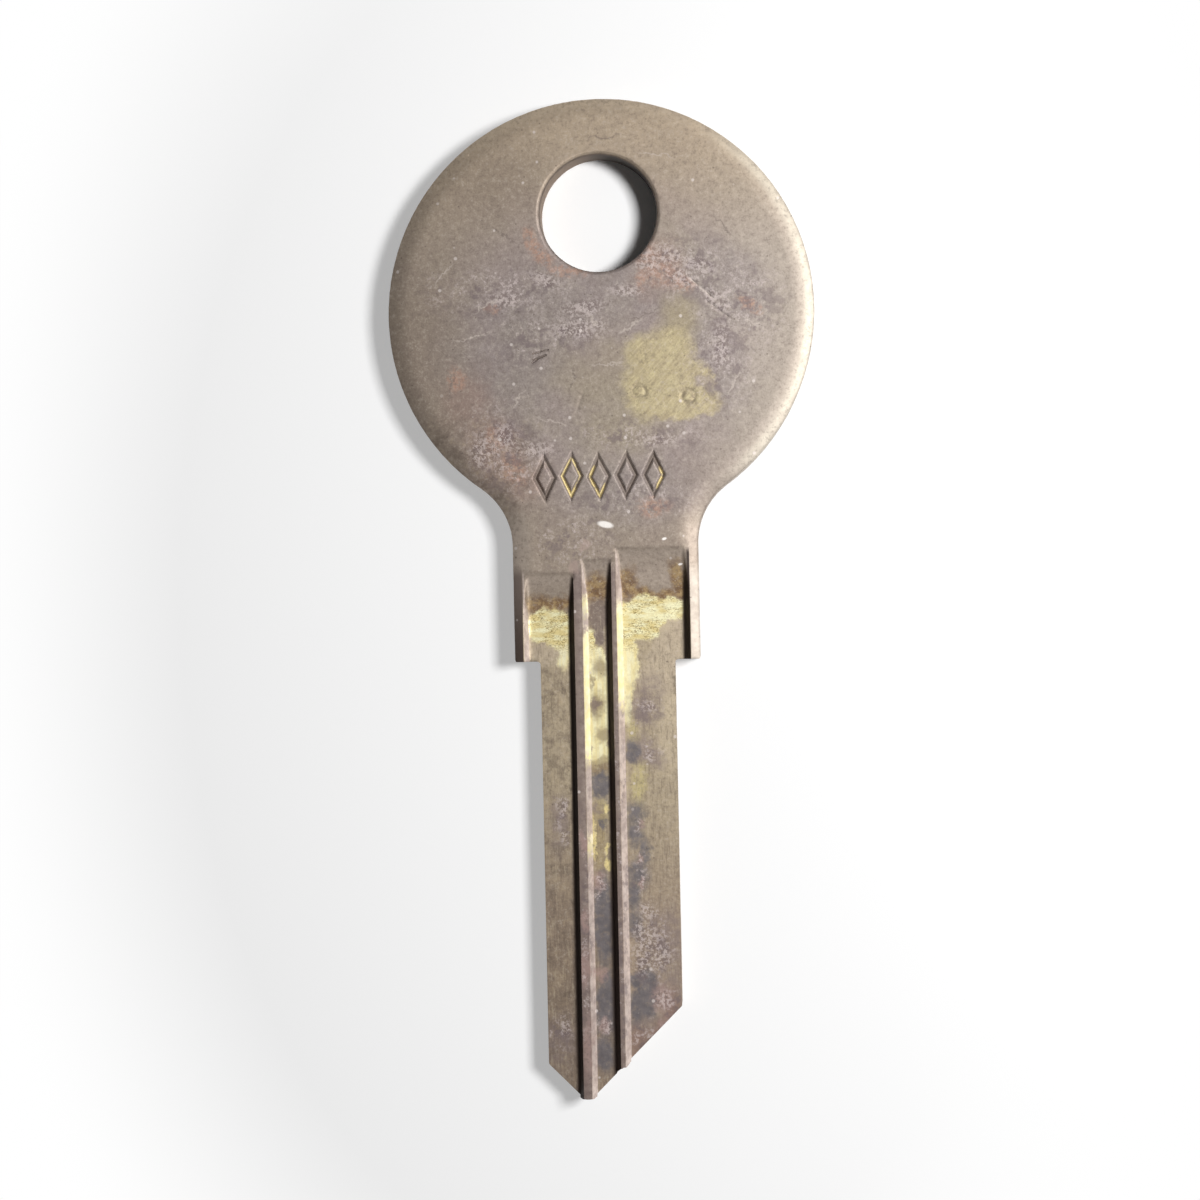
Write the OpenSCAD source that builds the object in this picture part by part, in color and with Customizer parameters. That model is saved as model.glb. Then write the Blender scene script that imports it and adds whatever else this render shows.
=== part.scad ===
// Key blank: one piece of brass strip, punched to its outline, then milled.
// It lies flat with the milled front face up. The origin is on the blade's
// centre line, at the shoulder stops, on the back face. The bow points to +Y
// and the blade to -Y.

/* [Strip] */
// Thickness of the brass strip
strip_t = 2; // [1.8:0.1:2.6]

/* [Bow] */
// Diameter of the round bow
bow_d = 23.4; // [21:0.1:26]
// Height of the bow's centre above the shoulder stops
bow_rise = 19.1; // [18:0.1:22]
// Diameter of the key ring hole
hole_d = 6.4; // [4:0.1:7.2]
// Height of the hole's centre above the bow's centre
hole_rise = 5.4; // [4.5:0.1:6]
// Bevel around both mouths of the hole
hole_bevel = 0.15; // [0.05:0.05:0.3]

/* [Shoulder] */
// Width across the shoulder
shoulder_w = 10.2; // [9.4:0.1:12]
// Radius of the concave necks between bow and shoulder
neck_r = 3.9; // [3:0.1:5]

/* [Blade] */
// Width of the blade
blade_w = 7.4; // [6.6:0.1:8.4]
// Length of the blade from the shoulder stops to the tip
blade_len = 24; // [20:0.1:32]
// Width of the small flat at the very tip
tip_flat_w = 0.5; // [0.3:0.1:1.5]
// Angle of both tip bevels, measured from the blade's axis
tip_angle = 45; // [35:1:60]

/* [Rolled edges] */
// Width of the soft edge that punching leaves on the front
front_roll_w = 1.2; // [0.6:0.1:1.6]
// How far the front drops at that edge
front_roll_drop = 0.25; // [0.1:0.05:0.35]
// Width of the tumbled edge on the back
back_roll_w = 0.5; // [0.2:0.1:1]
// How far the back rises at that edge
back_roll_drop = 0.12; // [0.04:0.02:0.2]

/* [Front keyway] */
// Centre of the left ridge, across the blade
ridge_left_x = -1.55; // [-2:0.05:-1.2]
// Width of the left ridge's top
ridge_left_w = 0.44; // [0.3:0.02:0.7]
// Centre of the right ridge, across the blade
ridge_right_x = 0.42; // [0.2:0.02:0.8]
// Width of the right ridge's top
ridge_right_w = 0.24; // [0.2:0.02:0.5]
// Width of the full-height lands left along the shoulder's sides
land_w = 0.53; // [0.35:0.01:0.8]
// Depth of the left milled flat
left_depth = 0.45; // [0.3:0.05:0.65]
// Depth of the middle groove
middle_depth = 0.5; // [0.3:0.05:0.65]
// Depth of the right milled flat
right_depth = 0.55; // [0.3:0.05:0.65]
// Height above the stops at which the left flat runs out
left_run_out = 4.9; // [4:0.1:6.5]
// Height above the stops at which the middle groove runs out
middle_run_out = 5.6; // [4:0.1:6.5]
// Height above the stops at which the right flat runs out
right_run_out = 6.2; // [4:0.1:6.5]

/* [Back keyway] */
// Width of each back groove, opposite a front ridge
back_groove_w = 1.1; // [0.8:0.05:1.3]
// Depth of each back groove
back_depth = 0.5; // [0.3:0.05:0.6]
// Height above the stops at which the back grooves run out
back_run_out = 5.2; // [4:0.1:6.5]

/* [Milling cutters] */
// Radius of the cutters, which shapes the run-outs
cutter_r = 10; // [8:0.5:14]
// Lean of the cutters' flanks, measured from upright
flank_angle = 28; // [15:1:35]

/* [Hidden] */
$fn = 128;

// How far cutting solids reach past what they cut
spare = 1;
// How far a rolled edge runs on past the outline before it levels out
overrun = 0.02;
// Steps in the arc of a rolled edge
roll_steps = 6;
// Turn of the cutter's rim that is used for a run-out
rim_turn = 45;

// Each neck arc runs smoothly into the shoulder's side. It crosses the bow's
// circle at a slight angle, too small to see, so that the two share a corner.
merge_angle = 2;
neck_x = shoulder_w/2 + neck_r;
neck_reach = sqrt(pow(bow_d/2, 2) + pow(neck_r, 2) + bow_d*neck_r*cos(merge_angle));
neck_drop = sqrt(pow(neck_reach, 2) - pow(neck_x, 2));
neck_y = bow_rise - neck_drop;
// Angle below the horizontal at which the necks take over from the bow
neck_turn = atan2(neck_drop, neck_x);
// How far inside the outline a neck's rolled edge starts. It then crosses
// those of the bow and the sides, and its ends are hidden under them.
neck_inset = 0.1;

hole_y = bow_rise + hole_rise;

// Left and right edge of each ridge's top, and inner edge of the lands
ridge_left = [ridge_left_x - ridge_left_w/2, ridge_left_x + ridge_left_w/2];
ridge_right = [ridge_right_x - ridge_right_w/2, ridge_right_x + ridge_right_w/2];
land_x = shoulder_w/2 - land_w;

// The tip's flat is on the left ridge, and a bevel runs from each end of it
tip_flat = [ridge_left_x - tip_flat_w/2, ridge_left_x + tip_flat_w/2];
// Height at which a bevel that starts at from_x reaches the blade's side
function bevel_end(from_x, side_x) = -blade_len + abs(side_x - from_x)/tan(tip_angle);

// Radius of an arc that leaves a flat face and falls by drop over width
function roll_radius(width, drop) = (width*width + drop*drop)/(2*drop);

// Points [x, fall] of a rolled edge, from the flat face out to half_w
function roll_arc(half_w, width, drop) =
    let (r = roll_radius(width, drop), turn = asin(width/r))
    [for (i = [0:roll_steps]) let (a = turn*i/roll_steps) [half_w - width + r*sin(a), r - r*cos(a)]];

function reversed(points) = [for (i = [len(points) - 1:-1:0]) points[i]];
function mirrored(points) = [for (p = reversed(points)) [-p[0], p[1]]];

// Section through one side of the rolled strip, from the back up to the front.
// Past the outline, which is at half_w, it runs on level as far as reach.
function rolled_side(half_w, reach) =
    let (back = roll_arc(half_w + overrun, back_roll_w, back_roll_drop),
         front = roll_arc(half_w + overrun, front_roll_w, front_roll_drop))
    concat(
        back,
        [[reach, back_roll_drop], [reach, strip_t - front_roll_drop]],
        [for (p = reversed(front)) [p[0], strip_t - p[1]]]
    );

// Moves a cut that is drawn for a face at height 0 that looks up
module front() {
    translate([0, 0, strip_t]) children();
}
module back() {
    mirror([0, 0, 1]) children();
}

// Body between the bow and the blade, with a concave neck on each side
module waist() {
    difference() {
        linear_extrude(strip_t) polygon([
            [0, bow_rise], [neck_x, neck_y], [shoulder_w/2, neck_y], [shoulder_w/2, 0],
            [-shoulder_w/2, 0], [-shoulder_w/2, neck_y], [-neck_x, neck_y]
        ]);
        for (side = [-1, 1]) translate([side*neck_x, neck_y, -spare])
            cylinder(r = neck_r, h = strip_t + 2*spare);
    }
}

// Plain blade, with its two bevels and the small flat between them
module blade() {
    linear_extrude(strip_t) polygon([
        [-blade_w/2, spare], [-blade_w/2, bevel_end(tip_flat[0], -blade_w/2)],
        [tip_flat[0], -blade_len], [tip_flat[1], -blade_len],
        [blade_w/2, bevel_end(tip_flat[1], blade_w/2)], [blade_w/2, spare]
    ]);
}

// The piece as the die punches it from the strip, with square edges
module punched_strip() {
    translate([0, bow_rise, 0]) cylinder(d = bow_d, h = strip_t);
    waist();
    blade();
}

// Space that rolled edges leave for the metal, falling away to the outline:
// a lens over the bow, a bar down to the tip and a curved piece at each neck
module rolled_space() {
    translate([0, bow_rise, 0]) rotate_extrude()
        polygon(concat([[0, 0]], rolled_side(bow_d/2, bow_d/2 + 2*overrun), [[0, strip_t]]));
    side = rolled_side(shoulder_w/2, neck_x);
    translate([0, bow_rise, 0]) rotate([90, 0, 0])
        linear_extrude(bow_rise + blade_len + spare)
            polygon(concat(side, mirrored(side)));
    neck = [for (p = rolled_side(-neck_inset, 2*overrun - neck_inset)) [neck_r - p[0], p[1]]];
    for (side = [0, 1]) mirror([side, 0, 0])
        translate([neck_x, neck_y, 0]) rotate([0, 0, 180 - neck_turn])
            rotate_extrude(angle = neck_turn)
                polygon(concat([[neck_x, 0]], neck, [[neck_x, strip_t]]));
}

// One straight pass of a milling cutter, for a face at height 0 that looks up.
// It runs off the tip. left and right are the edges of the cut in the face.
// The floor is narrower by the cutter's flanks, and at the shoulder it rises
// with the cutter's rim until it runs out.
module cutter_pass(left, right, depth, run_out) {
    flank = tan(flank_angle);
    section = [
        [left + depth*flank, 0], [right - depth*flank, 0],
        [right + spare*flank, depth + spare], [left - spare*flank, depth + spare]
    ];
    floor_end = run_out - sqrt(pow(cutter_r, 2) - pow(cutter_r - depth, 2));
    translate([0, floor_end, -depth]) {
        rotate([90, 0, 0])
            linear_extrude(floor_end + blade_len + spare) polygon(section);
        translate([0, 0, cutter_r]) rotate([0, 90, 0])
            rotate_extrude(angle = rim_turn)
                polygon([for (p = section) [cutter_r - p[1], p[0]]]);
    }
}

// Left flat, middle groove and right flat, which leave the two ridges standing
module front_keyway() {
    cutter_pass(-land_x, ridge_left[0], left_depth, left_run_out);
    cutter_pass(ridge_left[1], ridge_right[0], middle_depth, middle_run_out);
    cutter_pass(ridge_right[1], land_x, right_depth, right_run_out);
}

// One groove opposite each front ridge, so that the web stays about as thick
module back_keyway() {
    for (x = [ridge_left_x, ridge_right_x])
        cutter_pass(x - back_groove_w/2, x + back_groove_w/2, back_depth, back_run_out);
}

// Round hole for the key ring, with both mouths bevelled
module ring_hole() {
    translate([0, hole_y, -spare]) cylinder(d = hole_d, h = strip_t + 2*spare);
    for (mouth = [0, 1]) translate([0, hole_y, mouth*strip_t]) mirror([0, 0, mouth])
        translate([0, 0, -spare])
            cylinder(r1 = hole_d/2 + hole_bevel + spare, r2 = hole_d/2, h = hole_bevel + spare);
}

module key_blank() {
    color([0.55, 0.49, 0.4]) difference() {
        intersection() {
            union() punched_strip();
            union() rolled_space();
        }
        front() front_keyway();
        back() back_keyway();
        ring_hole();
    }
}

key_blank();
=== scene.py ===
# Looks of the key blank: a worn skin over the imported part, its tarnished brass,
# a pale floor, soft light and the camera. Sizes are millimetres in the part's
# own frame: the bow points to +Y, the blade to -Y and the milled front to +Z.
import math
import random

import bmesh
import bpy
from mathutils import Matrix, Vector, noise


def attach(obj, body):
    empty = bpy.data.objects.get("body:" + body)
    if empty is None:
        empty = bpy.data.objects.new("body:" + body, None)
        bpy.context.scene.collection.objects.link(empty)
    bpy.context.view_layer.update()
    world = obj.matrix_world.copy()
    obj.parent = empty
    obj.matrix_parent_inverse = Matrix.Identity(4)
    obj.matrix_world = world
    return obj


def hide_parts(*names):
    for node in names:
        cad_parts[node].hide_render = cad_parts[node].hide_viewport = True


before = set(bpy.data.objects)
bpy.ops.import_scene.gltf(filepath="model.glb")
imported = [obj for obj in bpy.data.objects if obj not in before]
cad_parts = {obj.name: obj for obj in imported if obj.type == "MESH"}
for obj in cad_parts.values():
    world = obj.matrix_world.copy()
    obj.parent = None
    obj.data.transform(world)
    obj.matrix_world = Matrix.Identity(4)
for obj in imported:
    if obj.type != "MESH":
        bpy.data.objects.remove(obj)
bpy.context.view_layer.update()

MM = 0.001

# Places on the blank that the skin and the finish have to follow, as in part.scad:
# the strip, the bow's and the hole's middle, the edges of the ridges' tops and of the
# side lands, the heights at which the front cuts run out, and the cutters
STRIP_T = 2.0
BOW_RISE = 19.1
HOLE_RISE = 24.5
HOLE_R = 3.2
LEFT_RIDGE = (-1.77, -1.33)
RIGHT_RIDGE = (0.3, 0.54)
LAND_X = 4.57
LEFT_RUN_OUT, MIDDLE_RUN_OUT, RIGHT_RUN_OUT = 4.9, 5.6, 6.2
FLANK = math.tan(math.radians(28))
CUTTER_R = 10.0
# The three front cuts: left and right edge, depth and the height at which each runs out
CUTS = [
    (-LAND_X, LEFT_RIDGE[0], 0.45, LEFT_RUN_OUT),
    (LEFT_RIDGE[1], RIGHT_RIDGE[0], 0.5, MIDDLE_RUN_OUT),
    (RIGHT_RIDGE[1], LAND_X, 0.55, RIGHT_RUN_OUT),
]

# The skin's mesh: voxels small enough for the ridges, the file's triangle limit, how
# near two vertices are joined, how often it is tumbled and which edges shade sharp
VOXEL = 0.08
MOST_TRIANGLES = 190000
WELD = 0.0005
TUMBLE_ROUNDS = 2
CREASE_ANGLE = 42
# The milled front is made sharp again above this height and within this half width. A
# vertex nearer to a corner than SNAP goes onto it, and none moves by more than MOST_MOVE.
SHARP_ABOVE = 1.3
SHARP_HALF_W = 3.9
SNAP = 0.035
MOST_MOVE = 0.2
# The bow's front begins this far over the back face and this far up from the stops. What
# lies above FLAT_FRONT_Z is the flat front, within the rolled edge.
BOW_FRONT_Z = 1.8
BOW_FRONT_Y = 6.5
FLAT_FRONT_Z = 1.9
# The skin's waves, pits and grain: size and depth of each, and how rare the pits are
WAVES = (2.6, 0.012)
PITS = (0.45, 0.012)
PIT_RARITY = 0.25
GRAIN = (0.2, 0.005)

# A row of plain struck lozenges across the neck of the bow
MARK_XS = (-3.2, -1.75, -0.25, 1.2, 2.75)
MARK_Y = 10.1
MARK_HALF_W = 0.52
MARK_HALF_H = 1.05
MARK_GROOVE = 0.17
MARK_DEPTH = 0.13
# Half size of the box that holds one mark, and how far each strays, leans (in degrees)
# and is struck deeper to one side
MARK_BOX = (0.8, 1.4)
MARK_STRAY = 0.05
MARK_LEAN = 2.5
MARK_UNEVEN = (0.3, 0.2)

# Knocks in the front: x, y, half length, half width, depth and turn in degrees
KNOCKS = [
    (-3.5, 16.95, 0.3, 0.07, 0.08, 14), (-3.35, 16.68, 0.42, 0.08, 0.1, 20),
    (-3.62, 16.5, 0.24, 0.07, 0.07, 30), (-3.05, 17.05, 0.2, 0.06, 0.06, 8),
    (5.6, 20.2, 1.1, 0.05, 0.03, -42), (6.5, 19.0, 1.0, 0.05, 0.03, -38),
    (-7.4, 17.8, 1.6, 0.04, 0.02, 12),
    (-1.2, 14.2, 0.9, 0.05, 0.02, 70), (3.4, 12.4, 0.7, 0.04, 0.02, 15),
]
# Ring-shaped knocks: x, y, radius and depth
RINGS = [(2.05, 14.69, 0.34, 0.015), (4.74, 14.37, 0.36, 0.02)]
RING_GROOVE = 0.12
NARROWEST_KNOCK = 0.001
# Places that get finer faces, round the marks and the gouge: middle and half size
FINE_PLACES = [((-0.25, MARK_Y), (4.1, 1.4)), ((-3.4, 16.8), (0.7, 0.5))]


# The skin: the CAD solid with every edge tumbled soft, then struck and knocked

def welded_copy(node):
    """Copy of a CAD node's mesh in millimetres, with its loose triangles joined."""
    bm = bmesh.new()
    bm.from_mesh(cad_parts[node].data)
    bmesh.ops.scale(bm, vec=Vector((1, 1, 1)) / MM, verts=bm.verts)
    bmesh.ops.remove_doubles(bm, verts=bm.verts, dist=WELD)
    mesh = bpy.data.meshes.new("welded")
    bm.to_mesh(mesh)
    bm.free()
    return mesh


def applied(mesh, kind, **settings):
    """The mesh with one modifier applied."""
    piece = bpy.data.objects.new("work", mesh)
    bpy.context.scene.collection.objects.link(piece)
    modifier = piece.modifiers.new(kind.title(), kind)
    for name, value in settings.items():
        setattr(modifier, name, value)
    seen = piece.evaluated_get(bpy.context.evaluated_depsgraph_get())
    result = bpy.data.meshes.new_from_object(seen)
    bpy.data.objects.remove(piece)
    bpy.data.meshes.remove(mesh)
    return result


def tumble(bm, rounds):
    """Softens every edge, as tumbling the blanks with stones does."""
    for _ in range(rounds):
        bmesh.ops.smooth_vert(
            bm, verts=bm.verts, factor=0.5,
            use_axis_x=True, use_axis_y=True, use_axis_z=True,
        )


def milled_section(y):
    """Corners (x, z) of the front across the keyway at one height above the stops."""
    corners = [(-LAND_X - 1, STRIP_T)]
    for left, right, depth, run_out in CUTS:
        if y >= run_out:
            continue
        floor_end = run_out - math.sqrt(CUTTER_R ** 2 - (CUTTER_R - depth) ** 2)
        past = max(0.0, y - floor_end)
        deep = depth - CUTTER_R + math.sqrt(CUTTER_R ** 2 - past ** 2)
        foot = STRIP_T - deep
        corners += [
            (left, STRIP_T), (left + deep * FLANK, foot), (right - deep * FLANK, foot), (right, STRIP_T)
        ]
    corners.append((LAND_X + 1, STRIP_T))
    return [Vector(corner) for corner in corners]


def sharpen_ridges(bm):
    """Puts the milled front back on its true section, as tumbling hardly reaches it."""
    sections = {}
    for vert in bm.verts:
        if vert.co.z < SHARP_ABOVE or vert.co.y > RIGHT_RUN_OUT or abs(vert.co.x) > SHARP_HALF_W:
            continue
        height = round(vert.co.y, 2)
        if height not in sections:
            sections[height] = milled_section(height)
        corners = sections[height]
        here = Vector((vert.co.x, vert.co.z))
        best = None
        for start, end in zip(corners, corners[1:]):
            along = end - start
            share = min(1.0, max(0.0, (here - start).dot(along) / along.length_squared))
            spot = start + along * share
            if best is None or (spot - here).length < (best - here).length:
                best = spot
        for corner in corners:
            if (corner - best).length < SNAP:
                best = corner
        if (best - here).length < MOST_MOVE:
            vert.co.x, vert.co.z = best


def refine(bm, middle, half_size):
    """Halves the front's faces around a place that gets fine marks."""
    def near(vert):
        aside = (abs(vert.co[axis] - middle[axis]) < half_size[axis] for axis in (0, 1))
        return vert.co.z > FLAT_FRONT_Z and all(aside)

    edges = [edge for edge in bm.edges if all(near(vert) for vert in edge.verts)]
    bmesh.ops.subdivide_edges(bm, edges=edges, cuts=1, use_grid_fill=True)


def groove(away, half_w, depth):
    """Depth of a round-bottomed groove at a distance from its middle line."""
    return depth * (1 - (away / half_w) ** 2) ** 2 if away < half_w else 0.0


def strike(points):
    """Sinks the row of lozenges, each struck a little off true."""
    draw = random.Random(4)
    for mark_x in MARK_XS:
        stray = Vector([draw.uniform(-MARK_STRAY, MARK_STRAY) for _ in range(2)] + [0])
        middle = Vector((mark_x, MARK_Y, 0)) + stray
        lean = Matrix.Rotation(math.radians(draw.uniform(-MARK_LEAN, MARK_LEAN)), 3, "Z")
        heavier = Vector([draw.uniform(-uneven, uneven) for uneven in MARK_UNEVEN] + [0])
        for vert in points:
            offset = vert.co - middle
            if abs(offset.x) > MARK_BOX[0] or abs(offset.y) > MARK_BOX[1]:
                continue
            turned = lean @ Vector((offset.x, offset.y, 0))
            out = abs(turned.x) / MARK_HALF_W + abs(turned.y) / MARK_HALF_H - 1
            away = abs(out) / math.hypot(1 / MARK_HALF_W, 1 / MARK_HALF_H)
            force = MARK_DEPTH * (1 + heavier.dot(turned))
            vert.co.z -= groove(away, MARK_GROOVE, force)


def knock(points):
    """Sinks the small gouges, scratches and ring marks."""
    for knock_x, knock_y, half_length, half_w, depth, turn in KNOCKS:
        back = Matrix.Rotation(math.radians(-turn), 3, "Z")
        for vert in points:
            offset = Vector((vert.co.x - knock_x, vert.co.y - knock_y, 0))
            if offset.length > half_length:
                continue
            along, across, _ = back @ offset
            narrowed = half_w * math.sqrt(1 - (along / half_length) ** 2)
            vert.co.z -= groove(abs(across), max(narrowed, NARROWEST_KNOCK), depth)
    for ring_x, ring_y, radius, depth in RINGS:
        for vert in points:
            away = math.hypot(vert.co.x - ring_x, vert.co.y - ring_y)
            vert.co.z -= groove(abs(away - radius), RING_GROOVE, depth)


def weather(bm):
    """Pits and waves the whole skin, never outwards."""
    bm.normal_update()
    pushes = []
    for vert in bm.verts:
        wave = 0.5 + 0.5 * noise.noise(vert.co / WAVES[0])
        pit = max(0.0, noise.noise(vert.co / PITS[0] + Vector((7, 3, 1))) - PIT_RARITY)
        grain = 0.5 + 0.5 * noise.noise(vert.co / GRAIN[0])
        pushes.append(vert.normal * (WAVES[1] * wave + PITS[1] * pit + GRAIN[1] * grain))
    for vert, push in zip(bm.verts, pushes):
        vert.co -= push


def make_blank():
    mesh = applied(welded_copy("key_blank"), "REMESH", mode="VOXEL", voxel_size=VOXEL)
    bm = bmesh.new()
    bm.from_mesh(mesh)
    tumble(bm, TUMBLE_ROUNDS)
    sharpen_ridges(bm)
    for middle, half_size in FINE_PLACES:
        refine(bm, middle, half_size)
    bow_front = [vert for vert in bm.verts if vert.co.z > BOW_FRONT_Z and vert.co.y > BOW_FRONT_Y]
    strike(bow_front)
    knock(bow_front)
    weather(bm)
    bm.to_mesh(mesh)
    bm.free()
    mesh = applied(mesh, "TRIANGULATE")
    mesh = applied(mesh, "DECIMATE", ratio=min(1, MOST_TRIANGLES / len(mesh.polygons)))
    mesh.transform(Matrix.Scale(MM, 4))
    mesh.shade_smooth()
    mesh.set_sharp_from_angle(angle=math.radians(CREASE_ANGLE))
    mesh.materials.clear()
    blank = bpy.data.objects.new("blank_skin", mesh)
    bpy.context.scene.collection.objects.link(blank)
    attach(blank, "root")
    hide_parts("key_blank")
    return blank


# Small helpers for node trees

def tone(name):
    """Linear colour of a named tone."""
    linear = []
    for value in TONES[name]:
        share = value / 255
        linear.append(share / 12.92 if share <= 0.04045 else ((share + 0.055) / 1.055) ** 2.4)
    return (*linear, 1)


class Nodes:
    """Adds nodes to one tree. An input is a value, a tone's name or another node's output."""

    def __init__(self, tree):
        self.tree = tree

    def add(self, kind, inputs=None, **settings):
        node = self.tree.nodes.new("ShaderNode" + kind)
        for name, value in settings.items():
            setattr(node, name, value)
        for name, value in (inputs or {}).items():
            self.feed(node.inputs[name], value)
        return node

    def feed(self, socket, value):
        if isinstance(value, bpy.types.NodeSocket):
            self.tree.links.new(value, socket)
        else:
            socket.default_value = tone(value) if isinstance(value, str) else value

    def math(self, operation, first, second=0.0):
        return self.add("Math", {0: first, 1: second}, operation=operation).outputs[0]

    def times(self, *factors):
        result = factors[0]
        for factor in factors[1:]:
            result = self.math("MULTIPLY", result, factor)
        return result

    def minus(self, first, second):
        return self.math("SUBTRACT", first, second)

    def plus(self, first, second):
        return self.math("ADD", first, second)

    def magnitude(self, value):
        return self.math("ABSOLUTE", value)

    def vector(self, operation, first, second=(0, 0, 0)):
        node = self.add("VectorMath", {0: first}, operation=operation)
        if operation == "SCALE":
            self.feed(node.inputs["Scale"], second)
        else:
            self.feed(node.inputs[1], second)
        return node.outputs["Value" if operation == "LENGTH" else "Vector"]

    def distance(self, place, middle, stretch=(1, 1, 0)):
        """How far a place is from a middle, with each axis stretched, seen from above
        unless stretch says otherwise."""
        offset = self.vector("SUBTRACT", place, middle)
        return self.vector("LENGTH", self.vector("MULTIPLY", offset, stretch))

    def mapped(self, place, stretch=(1, 1, 1), turn=0, shift=(0, 0, 0)):
        """Place stretched, turned about Z by degrees and shifted, in that order."""
        node = self.add("Mapping", {
            "Vector": place, "Scale": stretch, "Rotation": (0, 0, math.radians(turn)), "Location": shift,
        })
        return node.outputs[0]

    def step(self, value, low, high, to_low=0.0, to_high=1.0):
        """Smooth step from to_low at low to to_high at high. It needs no clamp, and a
        clamp on every step would make a shader this long too big for Cycles."""
        node = self.add(
            "MapRange",
            {"Value": value, "From Min": low, "From Max": high, "To Min": to_low, "To Max": to_high},
            interpolation_type="SMOOTHSTEP", clamp=False,
        )
        return node.outputs["Result"]

    def blend(self, share, low, high):
        """Colour between low and high."""
        node = self.add("Mix", data_type="RGBA")
        for socket, value in zip((0, 6, 7), (share, low, high)):
            self.feed(node.inputs[socket], value)
        return node.outputs[2]

    def between(self, share, low, high):
        """Number between low and high."""
        node = self.add("Mix", data_type="FLOAT")
        for socket, value in zip((0, 2, 3), (share, low, high)):
            self.feed(node.inputs[socket], value)
        return node.outputs[0]

    def most(self, masks):
        """Highest of several masks."""
        result = masks[0]
        for mask in masks[1:]:
            result = self.math("MAXIMUM", result, mask)
        return result

    def cloud(self, place, size, detail=2.0, roughness=0.5, shift=0.0):
        """Soft noise from 0 to 1 whose blobs are about size mm across."""
        return self.noise_node(place, size, detail, roughness, shift).outputs["Fac"]

    def noise_node(self, place, size, detail, roughness, shift):
        # An uneven shift takes each cloud to another part of the noise
        moved = self.mapped(place, shift=(shift, 1.7 * shift, 0.6 * shift)) if shift else place
        return self.add(
            "TexNoise", {"Vector": moved, "Scale": 1 / size, "Detail": detail, "Roughness": roughness}
        )

    def group(self, tree, inputs):
        node = self.add("Group")
        node.node_tree = tree
        for name, value in inputs.items():
            self.feed(node.inputs[name], value)
        return node.outputs[0]


def new_group(name, inputs, output):
    """Empty node group. inputs maps names to socket kinds: Float or Vector."""
    tree = bpy.data.node_groups.new(name, "ShaderNodeTree")
    for label, kind in inputs.items():
        tree.interface.new_socket(name=label, in_out="INPUT", socket_type="NodeSocket" + kind)
    tree.interface.new_socket(name=output, in_out="OUTPUT", socket_type="NodeSocketFloat")
    given = tree.nodes.new("NodeGroupInput")
    result = tree.nodes.new("NodeGroupOutput")
    return Nodes(tree), given.outputs, result.inputs[0]


def oval_group():
    """Mask of one oval: 1 inside it and 0 outside."""
    make, given, result = new_group(
        "oval", {"Place": "Vector", "Centre": "Vector", "Reach": "Vector", "Turn": "Float", "Soft": "Float"},
        "Mask",
    )
    moved = make.vector("SUBTRACT", given["Place"], given["Centre"])
    turned = make.add(
        "VectorRotate", {"Vector": moved, "Angle": given["Turn"]},
        rotation_type="Z_AXIS", invert=True,
    ).outputs[0]
    out = make.vector("LENGTH", make.vector("DIVIDE", turned, given["Reach"]))
    far = make.plus(1.0, given["Soft"])
    near = make.minus(1.0, given["Soft"])
    make.feed(result, make.step(out, near, far, 1.0, 0.0))
    return make.tree


def flank_group():
    """How far a place lies beyond the foot of a milled flank. Edge is where the flank
    meets the front, and Side is 1 for a flank that falls to the right, -1 to the left."""
    make, given, result = new_group(
        "flank", {"Place": "Vector", "Edge": "Float", "Side": "Float"}, "Out"
    )
    split = make.add("SeparateXYZ", {0: given["Place"]})
    out = make.times(make.minus(split.outputs["X"], given["Edge"]), given["Side"])
    sunk = make.minus(STRIP_T, split.outputs["Z"])
    make.feed(result, make.minus(out, make.times(sunk, FLANK)))
    return make.tree


OVAL = oval_group()
FLANK_OUT = flank_group()


# The finish

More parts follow.
